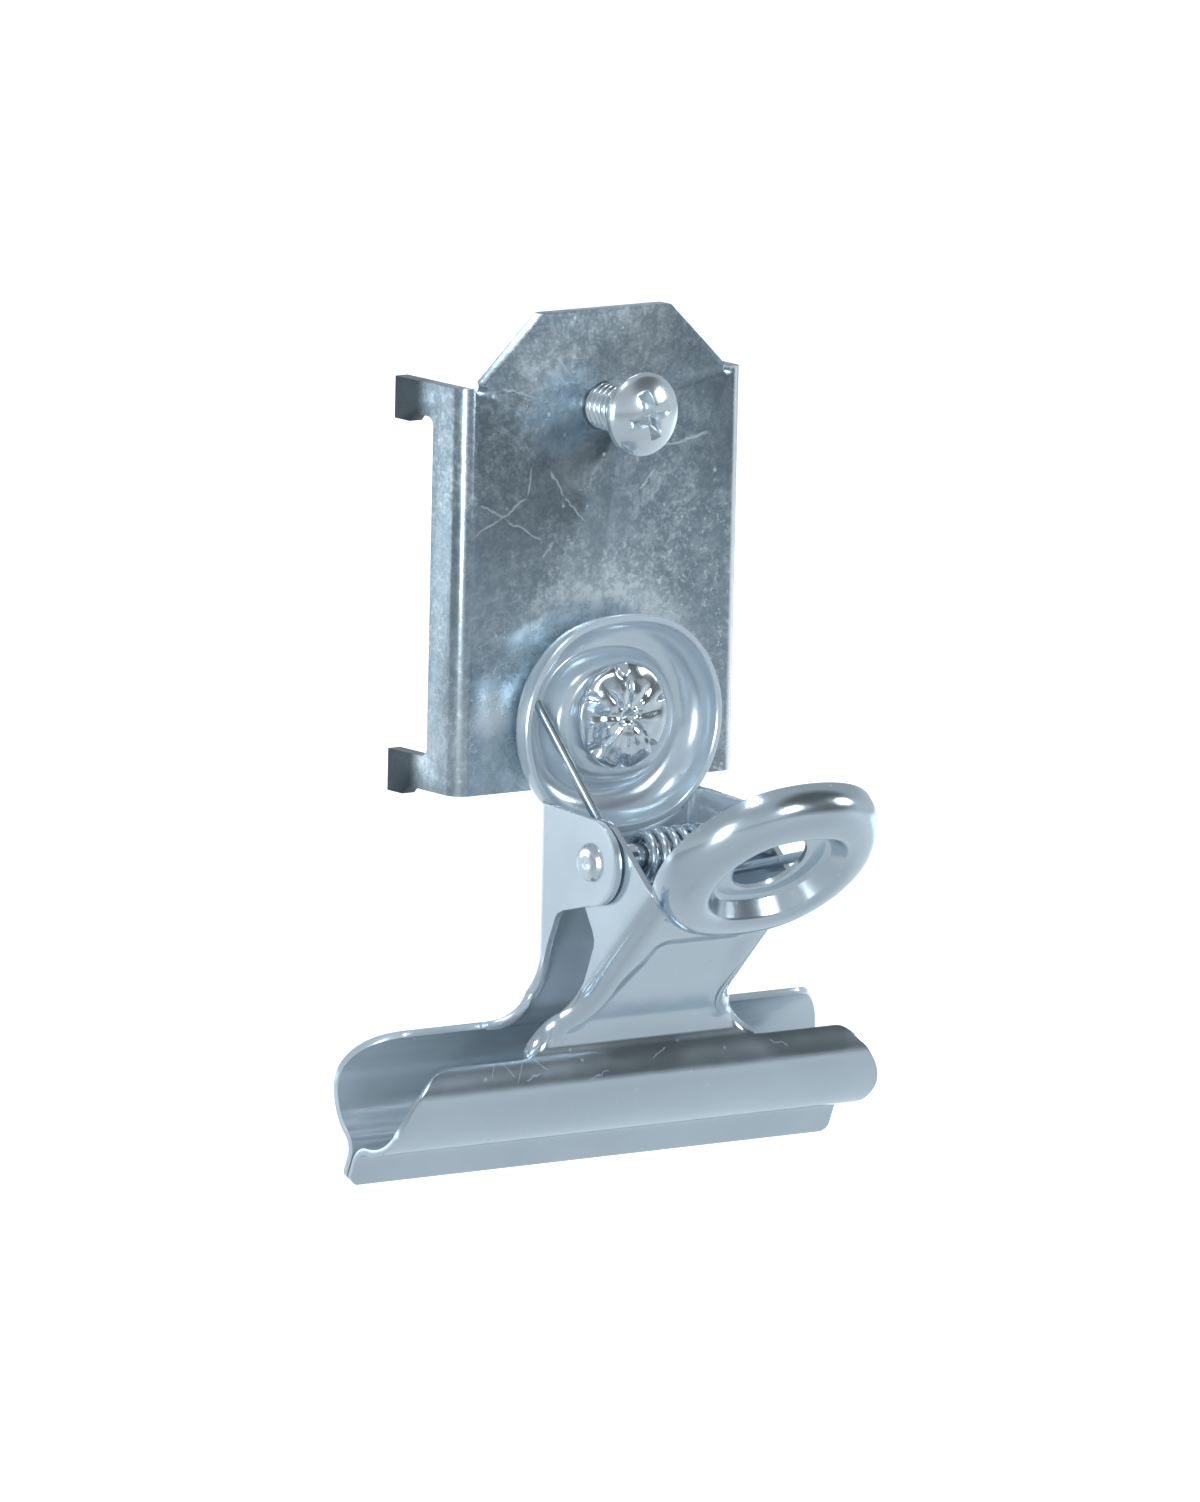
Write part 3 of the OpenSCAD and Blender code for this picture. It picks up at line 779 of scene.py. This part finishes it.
class Graph:
    """Short ways to build a material's nodes; a value is a number or another node's output."""

    def __init__(self, name):
        self.mat = bpy.data.materials.new(name)
        self.mat.use_nodes = True
        self.tree = self.mat.node_tree
        self.shader = self.tree.nodes["Principled BSDF"]
        self.place = self.add("ShaderNodeTexCoord").outputs["Object"]
        self.axes = None

    def add(self, kind, **settings):
        new = self.tree.nodes.new(kind)
        for key, value in settings.items():
            setattr(new, key, value)
        return new

    def put(self, socket, value):
        if isinstance(value, bpy.types.NodeSocket):
            self.tree.links.new(value, socket)
        else:
            socket.default_value = value

    def math(self, operation, *values, clamp=False):
        new = self.add("ShaderNodeMath", operation=operation, use_clamp=clamp)
        for socket, value in zip(new.inputs, values):
            self.put(socket, value)
        return new.outputs[0]

    def span(self, value, low, high, to_low=0.0, to_high=1.0):
        """Smooth step of a value from one span to another."""
        new = self.add("ShaderNodeMapRange", interpolation_type="SMOOTHSTEP")
        self.put(new.inputs["Value"], value)
        for key, number in (("From Min", low), ("From Max", high), ("To Min", to_low), ("To Max", to_high)):
            new.inputs[key].default_value = number
        return new.outputs["Result"]

    def noise(self, scale, detail=4.0, rough=0.6, vector=None, distortion=0.0):
        new = self.add("ShaderNodeTexNoise")
        self.put(new.inputs["Vector"], vector or self.place)
        new.inputs["Scale"].default_value = scale
        new.inputs["Detail"].default_value = detail
        new.inputs["Roughness"].default_value = rough
        new.inputs["Distortion"].default_value = distortion
        return new

    def mix(self, factor, a, b):
        new = self.add("ShaderNodeMix", data_type="RGBA")
        self.put(new.inputs["Factor"], factor)
        for key, value in (("A", a), ("B", b)):
            self.put(new.inputs[key], (*value, 1) if isinstance(value, tuple) else value)
        return new.outputs["Result"]

    def axis(self, letter):
        if self.axes is None:
            split = self.add("ShaderNodeSeparateXYZ")
            self.put(split.inputs[0], self.place)
            self.axes = split.outputs
        return self.axes[letter]

    def near(self, centre, inner, outer, first=None, second=None):
        """One near a place in X and Z, or in two other values, in millimetres, fading to zero."""
        dx = self.math("SUBTRACT", first or self.axis("X"), centre[0] * MM)
        dz = self.math("SUBTRACT", second or self.axis("Z"), centre[1] * MM)
        far = self.math("SQRT", self.math("ADD", self.math("MULTIPLY", dx, dx), self.math("MULTIPLY", dz, dz)))
        return self.span(far, outer * MM, inner * MM)

    def speckles(self, scale, share, size):
        """Small round dots in a share of the cells."""
        new = self.add("ShaderNodeTexVoronoi")
        self.put(new.inputs["Vector"], self.place)
        new.inputs["Scale"].default_value = scale
        pick = self.add("ShaderNodeSeparateColor")
        self.put(pick.inputs[0], new.outputs["Color"])
        dot = self.span(new.outputs["Distance"], size, size * 0.4)
        return self.math("MULTIPLY", dot, self.math("LESS_THAN", pick.outputs[0], share))

    def scratch(self, x, z, degrees, length, width=0.17, sway=1.5):
        """A thin line with a slight sway and tapered ends, seen from the front; millimetres."""
        frame_in = self.add("ShaderNodeMapping", vector_type="TEXTURE")
        self.put(frame_in.inputs["Vector"], self.place)
        frame_in.inputs["Location"].default_value = (x * MM, 0, z * MM)
        frame_in.inputs["Rotation"].default_value = (0, -math.radians(degrees), 0)
        split = self.add("ShaderNodeSeparateXYZ")
        self.put(split.inputs[0], frame_in.outputs[0])
        wander = self.noise(380, 4.0, 0.6).outputs["Fac"]
        shift = self.math("MULTIPLY", self.math("SUBTRACT", wander, 0.5), sway * MM)
        across = self.math("ABSOLUTE", self.math("ADD", split.outputs["Z"], shift))
        along_it = self.math("ABSOLUTE", split.outputs["X"])
        line = self.span(across, width * MM, width * 0.2 * MM)
        return self.math("MULTIPLY", line, self.span(along_it, length / 2 * MM, length * 0.3 * MM))

    def hairlines(self, scale, turn, share):
        """Fine straight hairlines all in one direction."""
        frame_in = self.add("ShaderNodeMapping")
        self.put(frame_in.inputs["Vector"], self.place)
        frame_in.inputs["Rotation"].default_value = turn
        frame_in.inputs["Scale"].default_value = (0.025, 1.0, 1.0)
        streak = self.noise(scale, 3.0, 0.6, frame_in.outputs[0]).outputs["Fac"]
        return self.span(streak, 1 - share, 1 - share * 0.6)

    def most(self, values):
        """The greatest of several values."""
        total = values[0]
        for value in values[1:]:
            total = self.math("MAXIMUM", total, value)
        return total

    def finish(self, colour, roughness, height, distance, metal=1.0):
        self.shader.inputs["Metallic"].default_value = metal
        self.put(self.shader.inputs["Base Color"], colour)
        self.put(self.shader.inputs["Roughness"], roughness)
        bump = self.add("ShaderNodeBump")
        bump.inputs["Distance"].default_value = distance
        self.put(bump.inputs["Height"], height)
        self.put(self.shader.inputs["Normal"], bump.outputs["Normal"])
        return self.mat


# Scratches on the plate: x, z, angle and length, in millimetres and degrees
PLATE_SCRATCHES = [
    (-14.4, 6.5, 27, 4.2), (-11.3, 8.2, 29, 4.8), (-9.2, 10.8, 79, 3.6), (-13.8, 8.1, -22, 3.9), (-9.8, 6.0, -31, 6.0),
    (-5.7, 10.4, -52, 3.8), (-3.4, 7.7, -48, 4.6), (5.5, 9.9, 46, 3.0), (10.3, 13.9, 10, 6.6), (-10.7, 19.9, -18, 5.3),
    (-5.1, 22.3, -44, 3.6), (2.4, -0.8, -47, 3.8), (-6.8, 3.7, 46, 2.6),
]


# Paler places of the plate, partly painted light: the first is a painted glow round the ring and the second a painted
# reflection left of it, the rest are paler patches; centre in X and Z, radii of the full and the faded mark, in
# millimetres, and strength
PALE_AND_LIT_PLACES = [
    ((0, -13.5), 11.8, 16.5, 0.70),
    ((-13.0, -16.0), 2.0, 9.0, 0.55),
    ((-5.5, 16.5), 0.5, 5.0, 0.60),
    ((-3.6, 12.4), 0.5, 4.5, 0.40),
    ((-5.0, 19.5), 2.0, 8.5, 0.42),
    ((4.0, 26.0), 1.0, 7.0, 0.32),
    ((0, -1.0), 2.0, 11.0, 0.26),
]


def bracket_zinc():
    """Dull dark zinc: fine mottling, pale specks, scratches and paler patches, with painted light round the ring and
    towards the bottom, a painted reflection left of the ring and painted highlights on the bends.
    """
    g = Graph("bracket_zinc")
    cloud = g.noise(85, 4.0, 0.55, distortion=0.5).outputs["Fac"]
    patch = g.noise(560, 8.0, 0.75, distortion=0.2).outputs["Fac"]
    grain = g.noise(2200, 2.0, 0.6).outputs["Fac"]
    # Painted light: the plate grows paler towards the bottom and round the ring, with a painted reflection left of the
    # ring; the other places are paler patches
    low = g.span(g.axis("Z"), 0.012, -0.012)
    wear_and_painted_light = [g.math("MULTIPLY", g.near(at, inner, outer), share) for at, inner, outer, share in PALE_AND_LIT_PLACES]
    wear_and_painted_light = g.most(wear_and_painted_light + [g.math("MULTIPLY", low, 0.12)])
    coarse = g.math("MULTIPLY", g.span(patch, 0.44, 0.62), 0.46)
    small = g.math("MULTIPLY", g.span(grain, 0.45, 0.66), 0.34)
    mottle = g.math("MULTIPLY", g.math("ADD", coarse, small), g.span(cloud, 0.36, 0.62, 0.35, 1.0))
    light = g.math("ADD", mottle, g.math("MULTIPLY", wear_and_painted_light, g.span(patch, 0.30, 0.62, 0.75, 1.1)), clamp=True)
    light = g.math("MULTIPLY", light, g.span(g.axis("X"), 0.006, 0.014, 1.0, 0.62))
    tone = g.mix(light, (0.285, 0.355, 0.41), (0.76, 0.84, 0.89))
    x, y = g.axis("X"), g.axis("Y")
    # Painted highlights: a paler, less metallic spot left of the ring and bright lines along both bends
    painted_highlight = g.most([
        g.math("MULTIPLY", g.near((-13.3, -12.8), 0.2, 3.4), 0.75),
        g.near((-16.7, -4.3), 0.2, 0.62, x, y),
        g.near((16.5, -4.7), 0.15, 0.6, x, y),
    ])
    tone = g.mix(painted_highlight, tone, (0.97, 0.98, 1.0))
    hooks = g.span(g.axis("Y"), 0.0002, 0.0030)
    tone = g.mix(g.math("MULTIPLY", hooks, 0.96), tone, (0.036, 0.050, 0.060))
    lines = g.most([g.scratch(*mark) for mark in PLATE_SCRATCHES])
    dense = g.span(cloud, 0.40, 0.58, 0.25, 1.0)
    thick = g.span(g.axis("Z"), 0.014, -0.004, 0.35, 1.0)
    flakes = g.span(g.noise(1500, 2.0, 0.7).outputs["Fac"], 0.58, 0.68)
    marks = g.most([
        g.math("MULTIPLY", g.speckles(1000, 0.05, 0.30), 0.6),
        g.math("MULTIPLY", g.math("MULTIPLY", flakes, dense), g.math("MULTIPLY", thick, 0.62)),
        g.math("MULTIPLY", lines, 0.42),
        g.math("MULTIPLY", g.hairlines(900, (0.3, 0.9, 0.2), 0.24), 0.06),
    ])
    marks = g.math("MULTIPLY", marks, g.span(g.axis("Y"), 0.0002, -0.0030))
    colour = g.mix(marks, tone, (0.90, 0.94, 0.96))
    rough = g.math("ADD", g.span(cloud, 0.3, 0.7, 0.22, 0.32), g.math("MULTIPLY", marks, 0.15), clamp=True)
    relief = g.math("ADD", cloud, g.math("MULTIPLY", grain, 0.08))
    relief = g.math("SUBTRACT", relief, g.math("MULTIPLY", lines, 0.06))
    mat = g.finish(colour, rough, relief, 0.00010)
    g.put(g.shader.inputs["Metallic"], g.math("SUBTRACT", 1.0, g.math("MULTIPLY", painted_highlight, 0.45)))
    return mat


# Scratches on the front jaw, where it mirrors the dim wall
JAW_SCRATCHES = [
    (-15.5, -47.6, 60, 2.6), (-17.0, -47.2, -50, 2.2), (-14.0, -48.2, 20, 2.4), (-18.6, -47.0, 70, 2.0),
    (-13.0, -47.0, -30, 2.6), (2.0, -47.2, 35, 2.4), (17.0, -47.2, -25, 2.8), (-6.0, -48.5, 15, 3.2),
]


def plated(name, base, dark, rough, ripple, specks, hairs, metal=0.92, scratches=()):
    """Bright plated steel: faint clouds, a slow ripple in its shine, fine hairlines, specks and scratches."""
    g = Graph(name)
    cloud = g.noise(70, 5.0, 0.58, distortion=0.5).outputs["Fac"]
    fine = g.noise(520, 6.0, 0.65).outputs["Fac"]
    tone = g.mix(g.span(cloud, 0.3, 0.7), dark, base)
    marks = g.most([
        g.math("MULTIPLY", g.speckles(700, 0.05, 0.2), specks),
        g.math("MULTIPLY", g.hairlines(1100, (0.2, 0.1, 0.35), 0.25), hairs),
        g.math("MULTIPLY", g.hairlines(900, (0.7, 0.3, 1.2), 0.24), hairs * 0.7),
    ])
    colour = g.mix(marks, tone, (0.84, 0.89, 0.92))
    gloss = g.math("ADD", g.span(cloud, 0.3, 0.7, rough * 0.75, rough * 1.25), g.math("MULTIPLY", fine, 0.05))
    gloss = g.math("ADD", gloss, g.math("MULTIPLY", marks, 0.2), clamp=True)
    relief = g.math("ADD", g.noise(150, 2.0, 0.5).outputs["Fac"], g.math("MULTIPLY", fine, 0.06))
    mat = g.finish(colour, gloss, relief, ripple, metal)
    if scratches:
        wear_and_painted_light = [g.scratch(*mark, width=0.08, sway=2.0) for mark in scratches]
        wear_and_painted_light.append(g.math("MULTIPLY", g.speckles(900, 0.10, 0.24), 0.6))
        wear_and_painted_light.append(g.math("MULTIPLY", g.hairlines(1300, (0.5, 0.4, 0.9), 0.27), 0.35))
        g.put(g.shader.inputs["Metallic"], g.math("SUBTRACT", metal, g.math("MULTIPLY", g.most(wear_and_painted_light), 0.40)))
    return mat


zinc = bracket_zinc()
nickel = plated("clip_nickel", (0.66, 0.745, 0.81), (0.61, 0.69, 0.755), 0.15, 0.00005, 0.35, 0.2, 0.94, JAW_SCRATCHES)
# Painted light: the back leaf gets a paler, less metallic copy of the front leaf's nickel, which lightens its shaded
# faces
nickel_back_painted_lighter = plated("clip_nickel_painted_lighter", (0.70, 0.78, 0.84), (0.65, 0.73, 0.79), 0.17, 0.00005, 0.3, 0.16, 0.52)
screw_zinc = plated("screw_zinc", (0.80, 0.86, 0.90), (0.72, 0.79, 0.84), 0.19, 0.00003, 0.2, 0.1)
rivet_nickel = plated("rivet_nickel", (0.78, 0.84, 0.89), (0.70, 0.77, 0.82), 0.13, 0.00004, 0.2, 0.1)
spring_steel = plated("spring_steel", (0.60, 0.67, 0.73), (0.50, 0.57, 0.63), 0.22, 0.00001, 0.1, 0.1)


def dress(obj, mat, body):
    """Gives a piece its material and slot, and the body it rides on if one is given."""
    obj.data.materials.clear()
    obj.data.materials.append(mat)
    if body:
        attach(obj, body)


dress(plate, zinc, "bracket")
dress(screw_thread, screw_zinc, "screw")
dress(screw_head, screw_zinc, "screw")
for piece in (rivet_star, rivet_shank, rivet_head):
    dress(piece, rivet_nickel, "bracket")
for piece in (back_body, back_ring):
    dress(piece, nickel_back_painted_lighter, "clip")
for piece in (front_body, front_ring):
    dress(piece, nickel, "front_handle")
for piece in (pin_shank, pin_left, pin_right):
    dress(piece, rivet_nickel, "clip")
dress(spring, spring_steel, None)
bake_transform(spring)

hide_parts("bracket_plate")
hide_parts("lock_screw")
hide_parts("rivet")
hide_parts("back_leaf")
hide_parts("front_leaf")
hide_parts("pivot_pin")
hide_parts("torsion_spring")


# ---------------------------------------------------------------- stage, light and camera

def plane(name, size, place):
    """A level square sheet."""
    mesh = bpy.data.meshes.new(name)
    s = size / 2
    mesh.from_pydata([(-s, -s, 0), (s, -s, 0), (s, s, 0), (-s, s, 0)], [], [(0, 1, 2, 3)])
    obj = bpy.data.objects.new(name, mesh)
    bpy.context.scene.collection.objects.link(obj)
    obj.location = place
    return obj


COOL = (0.85, 0.94, 1.0)
FLOOR_Z = -0.16


def floor_white():
    """A pale floor that glows dimly under the part, so that the metal mirrors grey, and white in a pool behind it."""
    g = Graph("floor_white")
    g.shader.inputs["Base Color"].default_value = (0.5, 0.5, 0.5, 1)
    g.shader.inputs["Roughness"].default_value = 0.9
    g.shader.inputs["Emission Color"].default_value = (*COOL, 1)
    x, y = g.axis("X"), g.axis("Y")
    away = g.math("ADD", g.math("MULTIPLY", x, 0.6), g.math("MULTIPLY", y, 0.8))
    pool = g.near((690, 920), 850, 975, x, y)
    glow = g.math("ADD", g.span(away, -0.11, 0.20, 0.10, 0.38), g.math("MULTIPLY", pool, 0.72))
    g.put(g.shader.inputs["Emission Strength"], glow)
    return g.mat


floor = plane("floor", 16.0, (0, 0, FLOOR_Z))
floor.data.materials.append(floor_white())

# Soft lamps: place in metres, watts, width and height in metres
AIM = (0, -0.01, -0.02)
LAMPS = {
    "key_left": ((-1.0, -0.75, 0.06), 4.6, 0.28, 0.5),
    "lamp_back": ((0.0, 0.95, 0.75), 3.0, 0.6, 0.3),
    "lamp_high": ((-0.35, -0.55, 1.15), 2.6, 0.22, 0.22),
    "lamp_middle": ((0.30, 0.10, 1.25), 2.6, 0.22, 0.22),
    "wall_left": ((-0.50, 0.67, -0.05), 0.22, 0.36, 0.18),
    "lamp_front": ((0.36, -1.10, 0.30), 2.2, 0.21, 0.21),
    "lamp_side": ((1.00, -0.62, 0.32), 2.2, 0.21, 0.21),
}
for lamp, (spot, power, wide, high) in LAMPS.items():
    data = bpy.data.lights.new(lamp, "AREA")
    data.energy = power
    data.color = COOL
    data.shape = "RECTANGLE"
    data.size = wide
    data.size_y = high
    obj = bpy.data.objects.new(lamp, data)
    bpy.context.scene.collection.objects.link(obj)
    obj.location = spot
    obj.rotation_euler = (Vector(AIM) - Vector(spot)).to_track_quat("-Z", "Y").to_euler()
    obj.visible_camera = False

WALL_TONES = [(0.0, 0.66), (0.25, 0.52), (0.5, 0.44), (1.0, 0.44)]
DIM_WALL = (0.588, -0.720, 0.370)
DIM_SPAN = (("From Min", 0.80), ("From Max", 0.925), ("To Min", 1.0), ("To Max", 0.14))


def sky():
    """Even walls in soft tones, with one dim stretch for the front jaw to mirror."""
    world = bpy.data.worlds.new("studio")
    bpy.context.scene.world = world
    world.use_nodes = True
    tree = world.node_tree
    back = tree.nodes["Background"]
    place = tree.nodes.new("ShaderNodeTexCoord")
    split = tree.nodes.new("ShaderNodeSeparateXYZ")
    ramp = tree.nodes.new("ShaderNodeValToRGB")
    tree.links.new(place.outputs["Generated"], split.inputs[0])
    tree.links.new(split.outputs["Z"], ramp.inputs["Fac"])
    tree.links.new(ramp.outputs["Color"], back.inputs["Color"])
    while len(ramp.color_ramp.elements) < len(WALL_TONES):
        ramp.color_ramp.elements.new(0.5)
    for element, (at, bright) in zip(ramp.color_ramp.elements, WALL_TONES):
        element.position = at
        element.color = (*(bright * c for c in COOL), 1)

    dot = tree.nodes.new("ShaderNodeVectorMath")
    dot.operation = "DOT_PRODUCT"
    tree.links.new(place.outputs["Generated"], dot.inputs[0])
    dot.inputs[1].default_value = DIM_WALL
    dim = tree.nodes.new("ShaderNodeMapRange")
    dim.interpolation_type = "SMOOTHSTEP"
    tree.links.new(dot.outputs["Value"], dim.inputs["Value"])
    for key, number in DIM_SPAN:
        dim.inputs[key].default_value = number
    tree.links.new(dim.outputs["Result"], back.inputs["Strength"])


sky()
bpy.context.scene.view_settings.view_transform = "Standard"

# Camera, fitted to the photograph; the focal length is in pixels of the 1200 x 1502 frame
AZIMUTH, ELEVATION, ROLL = math.radians(36.6), math.radians(9.56), math.radians(1.244)
TARGET = Vector((4.09, 0.0, -18.45)) * MM
DISTANCE = 2.026
FOCAL_PX, FRAME_PX, SENSOR = 20000.0, 1502.0, 36.0
level = math.cos(ELEVATION)
back_dir = Vector((-math.sin(AZIMUTH) * level, -math.cos(AZIMUTH) * level, math.sin(ELEVATION)))
right_dir = Vector((math.cos(AZIMUTH), -math.sin(AZIMUTH), 0))
up_dir = back_dir.cross(right_dir)
right_dir, up_dir = (right_dir * math.cos(ROLL) + up_dir * math.sin(ROLL),
                     up_dir * math.cos(ROLL) - right_dir * math.sin(ROLL))
camera_data = bpy.data.cameras.new("camera")
camera_data.sensor_width = SENSOR
camera_data.lens = FOCAL_PX * SENSOR / FRAME_PX
camera_data.clip_end = 30.0
camera = bpy.data.objects.new("camera", camera_data)
bpy.context.scene.collection.objects.link(camera)
turn = Matrix((right_dir, up_dir, back_dir)).transposed()
camera.matrix_world = Matrix.Translation(TARGET + back_dir * DISTANCE) @ turn.to_4x4()
bpy.context.scene.camera = camera
